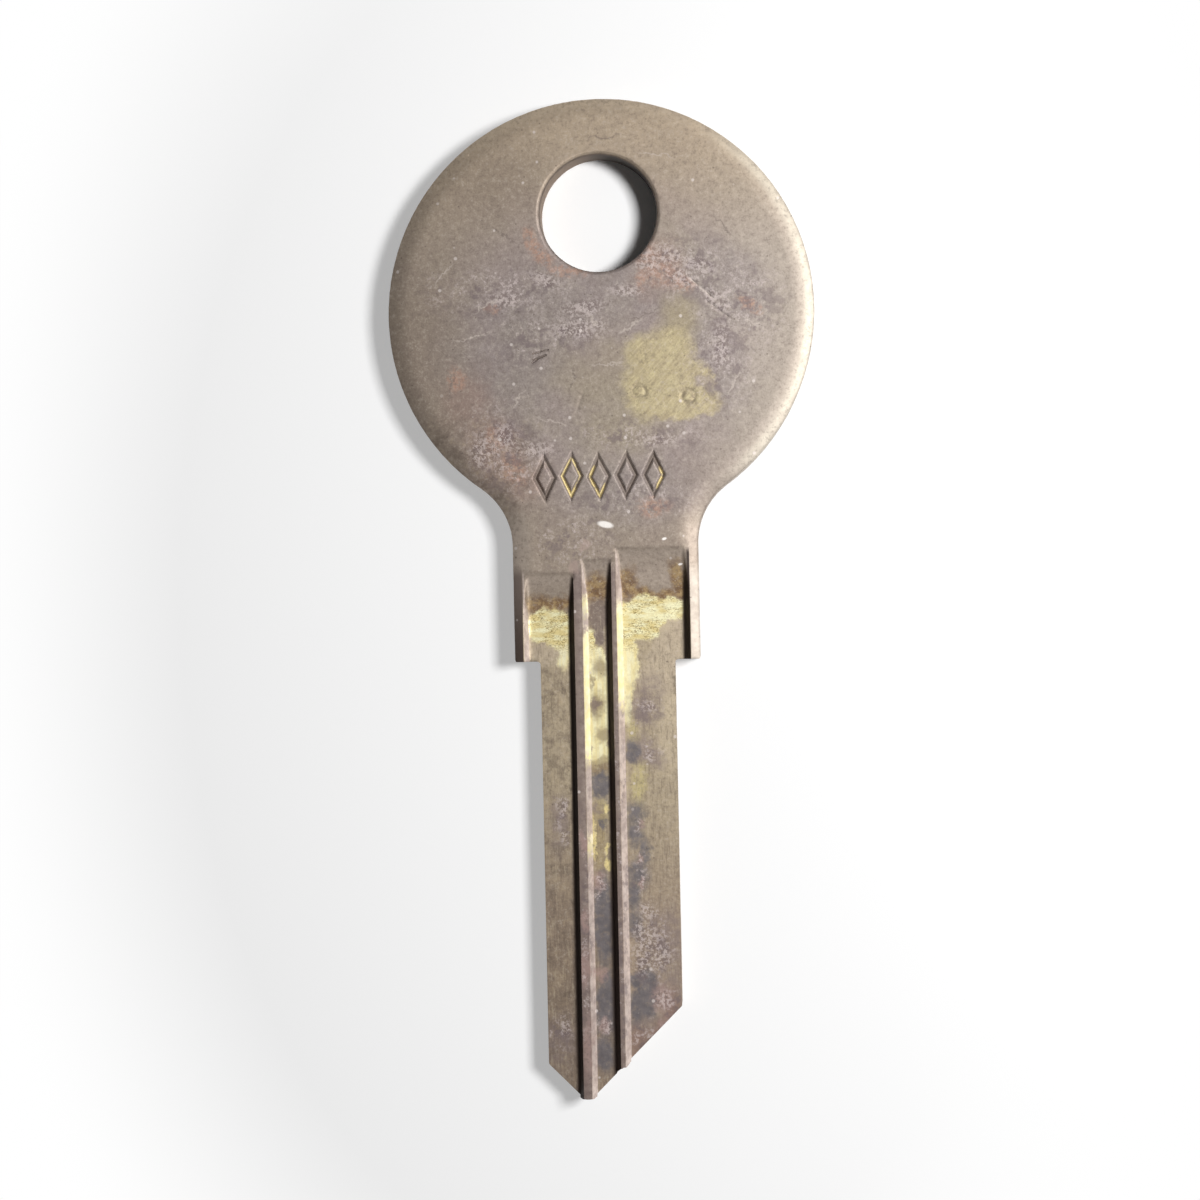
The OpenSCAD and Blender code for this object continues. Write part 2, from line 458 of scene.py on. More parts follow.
# Tones of the finish, as screen values from 0 to 255
TONES = {
    # Tarnish, from the bow down to the tip, with painted light: lighter to the right, at the bow's top, on
    # the neck, in the run-outs and on the rims, and painted shade towards the tip
    "grey tarnish": (168, 156, 145), "violet tarnish": (165, 151, 146), "warm bow": (163, 148, 131),
    "lit right side": (190, 179, 167), "lit bow top": (186, 168, 145), "lit neck": (196, 182, 168),
    "milled floor": (184, 168, 142), "shaded low milled floor": (174, 155, 134),
    "pale blade side": (212, 196, 168), "run-out": (202, 186, 172), "shaded tip": (146, 128, 110),
    "lit rim at the top": (206, 188, 164), "right rim's highlight": (238, 230, 212),
    # Hazes and stains
    "dark haze": (132, 117, 105), "violet haze": (146, 136, 136), "olive haze": (166, 153, 128),
    "pink haze": (166, 140, 128), "copper": (192, 154, 134), "mauve": (142, 126, 122),
    "tip's brown": (146, 120, 108), "pale slate": (122, 116, 118), "dark slate": (102, 98, 102),
    # Bare brass and what dulls it
    "ripple": (236, 218, 154), "ripple's crest": (255, 250, 206),
    "streak": (242, 220, 148), "streak's crest": (255, 250, 218),
    "olive dash": (146, 120, 60), "dull brass": (208, 184, 118), "brightest brass": (255, 247, 200),
    "pale heat": (184, 154, 102), "dark heat": (118, 84, 44), "faint brass": (206, 192, 138),
    "tan": (178, 160, 122), "gold": (248, 228, 160), "dull spot": (148, 128, 100),
    "taupe": (200, 184, 160), "groove's cover": (132, 116, 108), "fringe": (186, 172, 134),
    "rubbed brass": (186, 170, 132), "rubbed bright": (212, 198, 154), "notch": (164, 150, 138),
    # Mottle, blotches and milling lines
    "fine dark": (112, 99, 92), "fine pale": (210, 198, 184), "mottle": (138, 124, 114),
    "dark blotch": (104, 90, 78), "pale blotch": (190, 170, 142),
    "dark line": (112, 97, 86), "pale line": (206, 192, 166),
    # The back
    "violet cloud": (132, 120, 120), "tan cloud": (184, 164, 132), "back's brown": (146, 120, 102),
    "scuff": (196, 180, 152), "groove's grime": (92, 76, 64),
    # Ridges, flanks and lands, with painted light from the right: ridge tops shaded on the left and lit on
    # the right, lit flanks, worn brass flanks painted near white, a shaded left land and a lit right land
    "ridge's shaded left": (134, 118, 113), "ridge's lit right": (168, 152, 145), "ridge's mottle": (126, 109, 106),
    "lit flank": (216, 200, 190), "lit flank's mottle": (178, 161, 153),
    "bare flank": (255, 250, 222), "bare flank's mottle": (252, 240, 184),
    "left land's shade": (90, 76, 70), "left land's upper shade": (132, 118, 110),
    "lit land": (220, 208, 194), "lit land's mottle": (196, 182, 168),
    # Crust, specks and scratches
    "pit": (124, 110, 111), "pink crust": (176, 148, 140), "crust's gap": (128, 112, 110),
    "pale crust": (212, 198, 194), "light scratch": (206, 194, 184), "dark scratch": (112, 100, 94),
    "pale speck": (226, 216, 210), "dark speck": (100, 88, 80), "ring": (138, 124, 104),
    "spot": (184, 162, 152), "white fleck": (250, 244, 238),
    # Painted shadow on the flanks that face left, grime on the hole's wall with painted shade on its right,
    # and the marks' grime and brass
    "flank_shadow": (44, 28, 20), "hole's left": (132, 112, 94), "hole's shaded right": (36, 26, 20),
    "mark's grime": (110, 97, 88), "bright mark": (232, 212, 150),
}
TARNISH_METAL = 0.6
TARNISH_ROUGHNESS = 0.62
BUMP_HEIGHT = 0.03

# Heights above the back face between which a mask goes from nothing to full
FRONT_HALF = (0.9, 1.2)
ROLLED_RIM = (1.98, 1.86)
RUN_OUT_DIP = (1.98, 1.9)
MILLED_FLOOR = (1.86, 1.78)
RIDGE_TOP = (1.9, 1.96)
LIT_FLANK = (1.99, 1.95)
SHADED_FLANK = (1.985, 1.94)
IN_MARK = (1.935, 1.87)
IN_BRIGHT_MARK = (1.93, 1.87)
ABOVE_SIDES = (1.7, 1.75)
HOLE_WALL = (1.9, 1.75)
BACK_FACE = (0.3, 0.1)
IN_BACK_GROOVE = (0.12, 0.3)
UNDER_BACK_GROOVE = (0.62, 0.5)

# Specks: cells per millimetre, radius in cells, rarity, shift, tone and share
SPECKS = [(1.3, 0.085, 0.74, 4.0, "pale speck", 0.65), (2.2, 0.07, 0.72, 9.0, "dark speck", 0.55)]

# Stains: x, y, half width, half height, softness and, where it isn't 0, the turn in
# degrees. They are placed over the tarnish and get ragged rims from noise.
VIOLET_HAZE = [
    (2.6, 20.4, 3.6, 1.5, 0.5, -12), (6.9, 20.4, 2.6, 1.9, 0.5, -30), (-2.5, 19.2, 4.6, 1.9, 0.6, 4),
    (6.4, 16.2, 1.3, 3.0, 0.5, 10), (1.2, 9.2, 3.4, 1.5, 0.6), (-5.0, 16.5, 3.0, 2.6, 0.7),
]
OLIVE_HAZE = [(0.5, 15.4, 2.6, 2.0, 0.6), (1.0, 12.7, 2.2, 1.2, 0.6), (4.3, 18.7, 0.9, 1.2, 0.6)]
BOW_BRASS = [
    (2.5, 16.7, 1.2, 1.1, 0.35), (3.7, 16.7, 1.4, 1.4, 0.35), (3.6, 15.2, 2.4, 1.4, 0.2),
    (4.0, 14.1, 2.5, 1.0, 0.15, -4), (2.5, 14.6, 1.2, 1.5, 0.3), (5.5, 15.3, 0.7, 0.6, 0.2),
]
BOW_BRASS_FRINGE = [(4.4, 18.5, 0.8, 1.2, 0.8)]
BOW_BRASS_NOTCH = [(5.65, 15.15, 0.6, 0.35, 0.3)]
COPPER = [
    (3.4, 21.2, 0.9, 0.7, 0.7, -20), (4.5, 20.5, 0.7, 0.4, 0.7, -20), (-3.75, 23.1, 0.4, 0.75, 0.4, 20),
    (-3.1, 22.1, 0.75, 0.4, 0.4, -40), (-1.6, 21.35, 1.1, 0.3, 0.4), (-5.9, 19.4, 0.4, 0.25, 0.5),
    (2.62, 22.2, 0.5, 0.6, 0.6), (2.3, 20.8, 0.3, 0.5, 0.7), (8.1, 19.3, 0.8, 0.35, 0.4, -35),
    (-7.93, 15.6, 0.5, 0.6, 0.35, 10), (2.7, 8.35, 0.8, 0.5, 0.6), (-4.9, 10.6, 0.6, 0.9, 0.5, 20),
    (-5.9, 12.3, 0.5, 0.7, 0.6),
]
PINK_HAZE = [
    (-6.0, 11.6, 1.5, 2.2, 0.7, 20), (-7.2, 14.4, 1.2, 1.6, 0.7), (3.2, 21.5, 1.2, 1.6, 0.7),
    (-4.6, 9.9, 1.1, 1.4, 0.6),
]
DARKER_BOW = [(-7.8, 12.6, 2.6, 3.2, 0.8), (-5.4, 26.4, 2.4, 2.0, 0.8), (-9.8, 17.0, 1.8, 4.0, 0.8)]
SPOTS = [(-1.7, 5.1, 0.33, 0.36, 0.25), (-1.1, 6.3, 0.3, 0.3, 0.25)]
FLECKS = [
    (0.05, 7.45, 0.42, 0.17, 0.3, -12), (3.25, 6.6, 0.13, 0.07, 0.3, 15), (4.1, 5.2, 0.12, 0.06, 0.3, 10),
]
# Struck marks that show brass
BRIGHT_MARKS = [(-1.9, 10.1, 0.5, 1.1, 0.2), (-0.35, 9.8, 0.3, 1.0, 0.3, 20), (3.1, 9.6, 0.25, 0.9, 0.3)]
# Bare brass where the milled floors run out under the shoulder and down the ridges
FLOOR_BRASS = [
    (-3.15, 1.95, 1.3, 1.0, 0.12), (-2.45, 0.7, 0.5, 1.15, 0.3), (2.0, 2.3, 1.6, 1.2, 0.12),
    (3.5, 2.75, 0.95, 0.7, 0.15, 8), (1.15, 0.0, 0.5, 2.2, 0.25, -3), (1.0, -2.2, 0.25, 1.2, 0.4),
    (-0.9, -0.3, 0.3, 2.2, 0.2), (-0.55, -2.2, 0.7, 3.2, 0.08), (-0.5, -5.2, 0.6, 0.6, 0.2),
]
FAINT_BRASS = [(1.55, -6.6, 0.45, 1.3, 0.5), (1.3, -3.8, 0.3, 0.9, 0.6), (-0.55, -8.4, 0.35, 0.8, 0.5)]
GROOVE_GOLD = [
    (-0.2, -8.1, 0.16, 0.22, 0.4), (-0.2, -10.4, 0.14, 0.35, 0.4), (-0.2, -11.2, 0.17, 0.3, 0.4),
    (-0.98, -9.7, 0.1, 1.1, 0.5),
]
GROOVE_TAN = [(-0.75, -9.6, 0.5, 1.9, 0.3), (-0.5, -5.75, 0.6, 0.45, 0.3)]
BROWN_HEAT = [
    (-3.6, 3.05, 1.0, 0.5, 0.6), (-2.5, 3.15, 0.9, 0.4, 0.6), (-0.5, 4.0, 0.75, 0.8, 0.5),
    (1.1, 4.2, 0.55, 0.9, 0.5, -15), (1.9, 3.6, 0.9, 0.45, 0.5, -20), (4.0, 4.2, 0.45, 1.3, 0.5, 12),
    (3.1, 3.5, 0.9, 0.3, 0.5, 20),
]
TAUPE_COVER = [
    (3.6, 0.3, 1.6, 1.15, 0.12, 25), (2.9, -0.9, 1.3, 0.9, 0.2), (-3.6, 0.35, 0.8, 0.7, 0.3),
    (3.8, 1.2, 0.95, 1.1, 0.12),
]
GROOVE_COVER = [
    (-0.5, 2.45, 0.6, 0.95, 0.2), (-0.35, 1.3, 0.3, 0.5, 0.3, -15), (-0.75, -2.45, 0.26, 0.42, 0.5),
]
# Thin dull spots in the groove's brass, darker towards their middle
DULL_SPOTS = [
    (-0.42, -0.4, 0.4, 0.46, 0.6), (-0.72, -2.5, 0.42, 0.75, 0.6), (-0.35, -4.05, 0.4, 0.45, 0.6),
    (-0.95, -1.2, 0.12, 0.5, 0.8), (-0.5, -6.0, 0.6, 0.3, 0.6, 8),
]
MAUVE = [
    (2.0, -2.6, 0.9, 1.0, 0.5), (1.7, -4.9, 0.9, 0.85, 0.5, 20), (2.5, -5.4, 0.5, 0.6, 0.6, 30),
    (-0.76, -8.1, 0.33, 0.35, 0.4), (3.0, -15.4, 1.0, 1.6, 0.7), (3.1, -18.3, 0.8, 1.8, 0.6),
    (1.8, -20.4, 1.1, 1.0, 0.6, 40), (-3.0, -21.0, 0.9, 1.3, 0.7), (-2.9, -9.0, 0.5, 1.3, 0.8),
    (2.2, -1.7, 0.8, 0.8, 0.7),
]
# Pinkish brown along the tip's right bevel
TIP_BROWN = [
    (1.9, -21.2, 0.6, 2.4, 0.6, -43), (3.2, -19.4, 0.4, 1.2, 0.7), (0.6, -22.4, 0.5, 0.5, 0.7),
    (1.2, -20.9, 0.7, 0.7, 0.7),
]
# Bare brass in the back's grooves and on its bow, and brown stains all over it
BACK_BRASS = [
    (-1.55, 2.2, 0.6, 1.9, 0.3), (0.42, 1.4, 0.6, 2.6, 0.3), (0.42, -9.0, 0.5, 1.4, 0.5),
    (-1.55, -16.5, 0.5, 1.2, 0.5), (-3.4, 15.2, 1.9, 1.2, 0.9, 25), (5.2, 22.6, 1.3, 0.7, 0.9, -40),
]
BACK_BROWN = [
    (5.6, 13.0, 2.4, 1.8, 0.7, 30), (-6.0, 24.0, 2.2, 1.6, 0.7, -30), (2.4, 27.6, 2.0, 0.9, 0.7),
    (-1.5, 5.6, 1.4, 0.9, 0.7), (3.0, -5.0, 0.7, 2.2, 0.7), (-2.9, -12.0, 0.6, 2.4, 0.7),
    (2.8, -17.6, 0.8, 1.6, 0.7),
]
SLATE = [
    (1.25, -5.0, 0.4, 0.65, 0.4), (-0.55, -6.8, 0.6, 0.75, 0.25), (-0.45, -9.0, 0.2, 0.3, 0.5),
    (1.35, -8.4, 0.5, 0.6, 0.7), (1.3, -9.5, 0.45, 0.7, 0.7), (1.8, -10.6, 0.25, 0.8, 0.7),
    (1.4, -11.7, 0.55, 0.8, 0.7), (1.15, -12.9, 0.4, 0.9, 0.7), (1.2, -14.5, 0.4, 0.7, 0.6),
    (1.15, -19.1, 0.4, 0.9, 0.5), (-0.35, -17.6, 0.3, 0.6, 0.5), (-0.5, -14.3, 0.6, 2.5, 0.3),
    (-0.5, -19.0, 0.6, 1.7, 0.4), (-0.6, -21.6, 0.6, 1.0, 0.5), (1.75, -18.3, 0.7, 1.4, 0.25),
    (1.3, -17.6, 0.5, 0.5, 0.4),
]
PINK_CRUST = [
    (-1.53, -9.9, 0.22, 0.7, 0.4), (-1.5, -14.2, 0.22, 0.6, 0.5), (-1.55, -16.8, 0.25, 1.0, 0.5),
    (-1.5, -21.0, 0.3, 1.6, 0.6), (1.5, -10.9, 0.16, 0.25, 0.4), (1.65, -9.0, 0.16, 0.25, 0.4),
    (1.6, -12.3, 0.14, 0.25, 0.4), (-0.7, -17.2, 0.35, 0.4, 0.4), (-0.6, -20.0, 0.3, 0.4, 0.4),
    (-0.75, -12.1, 0.3, 0.5, 0.5), (2.6, -18.6, 0.5, 0.8, 0.6), (2.8, -20.2, 0.8, 0.4, 0.6, 45),
]
THICK_CRUST = [
    (1.9, -15.4, 0.8, 0.9, 0.5), (2.4, -16.2, 0.8, 0.8, 0.5), (2.75, -18.7, 0.45, 0.5, 0.5),
    (1.9, -13.8, 0.5, 0.5, 0.6), (2.2, -2.6, 0.4, 0.3, 0.6), (2.2, -5.4, 0.3, 0.3, 0.6),
    (1.5, -9.1, 0.15, 0.4, 0.6), (-2.65, -8.0, 0.25, 0.6, 0.7), (-2.6, -9.6, 0.2, 0.5, 0.7),
    (-2.7, -20.2, 0.3, 0.4, 0.7), (-0.65, -12.2, 0.25, 0.4, 0.6), (-0.5, -20.1, 0.3, 0.35, 0.6),
    (4.4, 20.9, 0.9, 0.5, 0.7, -20), (6.4, 19.6, 1.0, 0.4, 0.7, -40), (-5.2, 19.9, 0.9, 0.4, 0.8),
    (-5.3, 12.4, 0.6, 0.8, 0.8, 20), (2.9, 12.0, 1.0, 0.3, 0.8), (-3.0, 20.9, 0.9, 0.3, 0.8, -20),
    (2.7, 21.9, 0.7, 0.7, 0.7), (3.7, 22.0, 0.9, 0.5, 0.7), (5.4, 21.5, 0.9, 0.4, 0.8, -20),
    (1.4, 20.2, 0.9, 0.3, 0.8), (-0.9, 19.3, 1.2, 0.4, 0.8, 10), (6.5, 17.0, 0.5, 1.2, 0.8),
    (-1.2, 18.2, 1.4, 0.5, 0.8), (-6.6, 11.6, 0.7, 0.9, 0.8), (-3.8, 11.6, 1.0, 0.4, 0.8),
    (1.6, -16.4, 0.5, 0.9, 0.6), (1.5, -14.9, 0.4, 0.6, 0.6), (1.5, -10.9, 0.15, 0.3, 0.6),
    (1.65, -12.2, 0.15, 0.3, 0.6),
]
CRUSTED = [
    (4.8, 21.4, 3.0, 1.6, 0.6, -20), (7.6, 19.0, 2.2, 2.4, 0.6), (-5.5, 20.3, 3.6, 1.3, 0.7),
    (-3.0, 17.8, 2.8, 1.3, 0.7, 10), (6.6, 16.0, 1.6, 2.4, 0.7), (-5.2, 11.6, 2.2, 2.4, 0.8),
    (2.0, 12.3, 3.5, 0.7, 0.7), (1.5, 8.7, 3.0, 1.0, 0.7), (-1.5, 6.5, 2.0, 1.2, 0.8),
    (2.1, -2.7, 0.8, 0.8, 0.6), (2.2, -5.0, 0.7, 0.5, 0.6), (1.6, -11.8, 0.5, 1.2, 0.6),
    (2.1, -15.9, 1.2, 2.0, 0.5), (2.9, -18.9, 0.7, 1.0, 0.5), (1.6, -20.6, 0.9, 0.7, 0.5, 30),
    (-2.7, -8.6, 0.5, 1.2, 0.7), (-2.8, -20.4, 0.7, 0.9, 0.7), (-0.5, -12.4, 0.5, 0.8, 0.6),
    (-0.6, -20.2, 0.5, 0.8, 0.6), (-1.55, -16.0, 0.3, 8.0, 0.4), (0.45, -12.0, 0.25, 11.0, 0.4),
]
# Thin light scratches and faint dark ones on the bow
LIGHT_SCRATCHES = [
    (5.6, 20.2, 1.2, 0.06, 0.6, -42), (-7.0, 17.9, 1.1, 0.05, 0.6, 14), (-0.4, 18.6, 0.5, 0.05, 0.6, -70),
    (-6.2, 19.6, 0.9, 0.05, 0.6, 30), (1.6, 18.2, 0.7, 0.05, 0.6, 40), (7.2, 15.0, 0.8, 0.05, 0.6, 60),
    (-2.8, 13.2, 0.8, 0.04, 0.6, -15), (-8.6, 21.4, 0.7, 0.05, 0.6, 50), (3.2, 27.6, 0.9, 0.04, 0.6, -10),
    (-4.6, 14.4, 0.6, 0.05, 0.6, 65), (0.4, 16.2, 0.9, 0.04, 0.6, 5), (8.4, 18.2, 0.6, 0.05, 0.6, -30),
]
DARK_SCRATCHES = [
    (-1.6, 15.4, 0.9, 0.05, 0.6, 75), (2.4, 18.9, 1.0, 0.05, 0.6, 20), (-5.2, 23.4, 0.8, 0.05, 0.6, -35),
    (6.8, 23.6, 0.9, 0.05, 0.6, -50), (-8.2, 15.2, 0.7, 0.05, 0.6, 80), (0.4, 28.6, 1.1, 0.05, 0.6, 4),
]

# Stretches of the ridges' right flanks that are rubbed down to brass, also painted near white as a
# highlight: top, bottom, share
WORN_FLANKS = {
    LEFT_RIDGE[1]: [(3.7, 2.6, 0.9), (1.6, -5.4, 1.0), (-9.6, -10.5, 0.7)],
    RIGHT_RIDGE[1]: [(2.9, -2.4, 0.9)],
}


class Skin:
    """The blank's skin as a place to put coats on: colour, metal share, roughness."""

    def __init__(self, make):
        self.make = make
        self.solid = make.mapped(make.add("TexCoord").outputs["Object"], (1 / MM, 1 / MM, 1 / MM))
        split = make.add("SeparateXYZ", {0: self.solid})
        self.x, self.y, self.z = (split.outputs[axis] for axis in "XYZ")
        self.front = make.step(self.z, *FRONT_HALF)
        self.flat = make.vector("MULTIPLY", self.solid, (1, 1, 0))
        # Pushed about by noise, so that what is placed on them gets a ragged rim
        self.broad = self.pushed(1.6, 2.4, 3.0)
        self.close = self.pushed(0.5, 0.9, 11.0)
        self.mottle = make.step(make.cloud(self.solid, 0.5, 4, 0.65, 5.0), 0.32, 0.68)
        self.colour = self.metal = self.roughness = None

    def pushed(self, size, reach, shift):
        """Places on the front, pushed by up to half of reach by noise of that size."""
        make = self.make
        field = make.noise_node(self.solid, size, 4, 0.6, shift).outputs["Color"]
        push = make.vector("SCALE", make.vector("SUBTRACT", field, (0.5, 0.5, 0.5)), reach)
        return make.vector("MULTIPLY", make.vector("ADD", self.solid, push), (1, 1, 0))

    def ovals(self, rows, place, limit=None):
        """Mask of the ovals in rows, on the front or within limit."""
        make = self.make
        found = 0.0
        for x, y, half_w, half_h, soft, *turn in rows:
            oval = make.group(OVAL, {
                "Place": place, "Centre": (x, y, 0), "Reach": (half_w, half_h, 1),
                "Turn": math.radians(turn[0]) if turn else 0.0, "Soft": soft,
            })
            found = make.math("MAXIMUM", oval, found)
        return make.times(found, self.front if limit is None else limit)

    def coat(self, mask, colour, share=1.0, metal=None, roughness=None):
        """Lays a colour, and perhaps a metal share and a roughness, where the mask is."""
        make = self.make
        if share != 1.0:
            mask = make.times(mask, share)
        self.colour = make.blend(mask, self.colour, colour)
        if metal is not None:
            self.metal = make.between(mask, self.metal, metal)
        if roughness is not None:
            self.roughness = make.between(mask, self.roughness, roughness)

    def stain(self, rows, colour, share, metal=None, roughness=None, limit=None, place=None):
        """Coats ovals with a named tone."""
        mask = self.ovals(rows, self.close if place is None else place, limit)
        self.coat(mask, colour, share, metal, roughness)

    def blotch(self, where, cloud, *coats):
        """Coats blobs of a cloud: from and full level, tone and share for each coat."""
        for begins, full, colour, share in coats:
            self.coat(self.make.times(where, self.make.step(cloud, begins, full)), colour, share)


def lay_tarnish(skin):
    """Dull coat over everything: cool in the bow's middle, warm at its rim and down
    the blade. On it painted light and shade: lighter to the right, at the bow's top, on
    the left neck and in the run-outs, painted light on the top rim and a painted highlight
    on the right rim, and painted shade down the blade, darkest at the tip's left."""
    make, x, y, front = skin.make, skin.x, skin.y, skin.front
    clouds = make.step(make.cloud(skin.solid, 3.5, 3, 0.55), 0.35, 0.65)
    skin.colour = make.blend(clouds, "grey tarnish", "violet tarnish")
    skin.metal, skin.roughness = TARNISH_METAL, TARNISH_ROUGHNESS
    from_middle = make.distance(skin.solid, (1.0, 18.0, 0), (1, 0.9, 0))
    skin.coat(make.step(from_middle, 6, 12), "warm bow", 0.8)
    # Painted light: lighter towards the right, the side the light falls from
    skin.coat(make.step(x, 3.5, 9.5), "lit right side", 0.6)
    # Painted light: the bow's top is painted lighter and warmer
    skin.coat(make.step(y, 21, 30), "lit bow top", 0.9)
    # Painted light: the left neck's rolled edge, which faces away from the light, is painted lighter
    lit_left_neck = make.times(make.step(x, -3.6, -4.6), make.step(y, 9, 7), make.step(y, 4.5, 5.5))
    skin.coat(make.times(lit_left_neck, front), "lit neck", 0.7)
    milled = make.times(make.step(y, 3.6, 2.2), front)
    skin.coat(milled, "milled floor")
    # Painted shade: the milled floors are painted darker towards the tip
    skin.coat(make.times(milled, make.step(y, -7, -15)), "shaded low milled floor")
    right_side = make.times(make.step(x, 2.2, 3.0), make.step(y, -7, -5), make.step(y, 0.5, -0.5))
    skin.coat(make.times(right_side, front), "pale blade side", 0.6)
    # Painted light: the run-outs' slopes are painted lighter
    lit_run_outs = make.times(make.step(y, 3.6, 4.6), make.step(y, 8, 7), make.step(skin.z, *RUN_OUT_DIP))
    skin.coat(make.times(lit_run_outs, front), "run-out", 0.45)
    # Painted shade: the tip's left is painted darker
    shaded_tip_left = make.times(make.step(y, -6, -18), make.step(x, 0.5, -1.5))
    skin.coat(shaded_tip_left, "shaded tip", 0.85)
    # Painted light on the rolled rim: lighter at the top, and a painted highlight on the right
    rim = make.times(make.step(skin.z, *ROLLED_RIM), front)
    skin.coat(make.times(rim, make.step(y, 25, 29)), "lit rim at the top", 0.7)
    skin.coat(make.times(rim, make.step(x, 5, 9), make.step(y, 8, 11)), "right rim's highlight", 0.5)


def stain_bow(skin):
    """Hazes over the bow, copper where the brass lost its zinc, and dark scratches."""
    make = skin.make
    for rows, colour, share in (
        (DARKER_BOW, "dark haze", 0.35), (VIOLET_HAZE, "violet haze", 0.45),
        (OLIVE_HAZE, "olive haze", 0.5), (PINK_HAZE, "pink haze", 0.5),
    ):
        skin.stain(rows, colour, share, place=skin.broad)
    patchy = make.step(make.cloud(skin.solid, 0.35, 4, 0.7, 13.0), 0.38, 0.56)
    skin.coat(make.times(skin.ovals(COPPER, skin.close), patchy), "copper", 0.75)
    skin.stain(DARK_SCRATCHES, "dark scratch", 0.5)


def floor_brass(skin):
    """Colour of the bright milled floors: crosswise ripples by the shoulder and
    lengthwise streaks below it, with olive dashes and dull patches."""
    make, y = skin.make, skin.y
    crosswise = make.mapped(skin.solid, (1, 3, 1))
    ripples = make.step(make.cloud(crosswise, 0.9, 3, 0.6, 9.0), 0.36, 0.64)
    rippled = make.blend(ripples, "ripple", "ripple's crest")
    lengthwise = make.mapped(skin.solid, (4, 0.5, 1))
    streaks = make.step(make.cloud(lengthwise, 0.8, 3, 0.6, 9.0), 0.3, 0.7)
    streaked = make.blend(streaks, "streak", "streak's crest")
    bright = make.blend(make.step(y, 0.2, 1.4), streaked, rippled)
    waves = make.cloud(make.mapped(skin.solid, (1, 2.6, 1)), 0.34, 3, 0.6, 2.0)
    # A dash runs where the waves are near half, and where they are highest
    near_half = make.times(make.step(waves, 0.44, 0.47), make.step(waves, 0.52, 0.49))
    dashes = make.most([near_half, make.step(waves, 0.6, 0.66)])
    gaps = make.step(make.cloud(skin.solid, 0.6, 3, 0.6, 8.0), 0.38, 0.56, 0.15, 1.0)
    dashed = make.times(dashes, gaps, make.step(y, -0.3, 1.2), 0.85)
    bright = make.blend(dashed, bright, "olive dash")
    dull = make.step(make.cloud(skin.solid, 0.55, 4, 0.65, 23.0), 0.48, 0.62)
    dulled = make.times(dull, make.step(y, 1.6, 0.4), 0.45)
    return make.blend(dulled, bright, "dull brass"), streaks


def bare_brass(skin, sunk):
    """Brass that stayed bright in the milled floors, its heat stain and the rubbed
    patch on the bow. Returns the mask of the bright floors."""
    make = skin.make
    bright, streaks = floor_brass(skin)
    burnt = make.step(make.cloud(skin.solid, 0.4, 4, 0.7, 19.0), 0.34, 0.6)
    heat = make.blend(burnt, "pale heat", "dark heat")
    skin.coat(skin.ovals(BROWN_HEAT, skin.close, sunk), heat, 0.85, 0.5)
    clean = skin.ovals(FLOOR_BRASS, skin.close, sunk)
    skin.coat(clean, bright, 1.0, 0.45, 0.5)
    skin.coat(make.times(clean, make.step(skin.y, 1.0, 0.0)), "brightest brass", 0.4)
    faint = skin.ovals(FAINT_BRASS, skin.close, sunk)
    skin.coat(make.times(faint, make.step(streaks, 0.0, 0.7, 0.3, 1.0)), "faint brass", 0.8, 0.6)
    skin.stain(GROOVE_TAN, "tan", 0.8, limit=sunk)
    skin.stain(GROOVE_GOLD, "gold", 1.0, 0.4, 0.5, sunk)
    skin.stain(DULL_SPOTS, "dull spot", 0.7, limit=sunk)
    skin.stain(TAUPE_COVER, "taupe", 0.95, 0.75, 0.6, sunk)
    skin.stain(GROOVE_COVER, "groove's cover", 0.9, 0.6, 0.6, sunk)
    strokes = make.cloud(make.mapped(make.mapped(skin.solid, turn=-45), (1, 7, 1)), 0.8, 3, 0.6, 8.0)
    skin.stain(BOW_BRASS_FRINGE, "fringe", 0.4)
    rubbed = make.blend(make.step(strokes, 0.3, 0.7), "rubbed brass", "rubbed bright")
    skin.coat(skin.ovals(BOW_BRASS, skin.close), rubbed, 0.85, 0.55, 0.55)
    skin.stain(BOW_BRASS_NOTCH, "notch", 0.8)
    return clean


def age(skin, clean):
    """Fine mottle over the coats so far, and milling lines down the blade. What is
    clean gets little of it."""
    make, x, y = skin.make, skin.x, skin.y
    worn = make.step(clean, 0, 1, 1.0, 0.25)
    fine = make.cloud(skin.solid, 0.22, 4, 0.8, 17.0)
    skin.blotch(worn, fine, (0.5, 0.66, "fine dark", 0.4), (0.48, 0.34, "fine pale", 0.36))
    skin.coat(make.times(worn, skin.mottle), "mottle", 0.22)
    left_flat = make.times(make.step(x, -1.6, -1.9), make.step(y, 1.0, -1.0))
    low_bow = make.times(make.step(x, -2.0, -5.0), make.step(y, 14.5, 12.0), make.step(y, 7.0, 9.0))
    blotched = make.times(make.most([left_flat, low_bow]), skin.front)
    blotches = make.cloud(skin.solid, 0.8, 4, 0.7, 41.0)
    skin.blotch(blotched, blotches, (0.5, 0.62, "dark blotch", 0.4), (0.47, 0.35, "pale blotch", 0.3))
    milled = make.times(make.step(y, 3.6, 1.5), skin.front, worn)
    drawn = make.cloud(make.mapped(skin.solid, (7, 0.8, 1)), 0.7, 3, 0.7, 4.0)
    skin.blotch(milled, drawn, (0.52, 0.68, "dark line", 0.4), (0.46, 0.32, "pale line", 0.35))


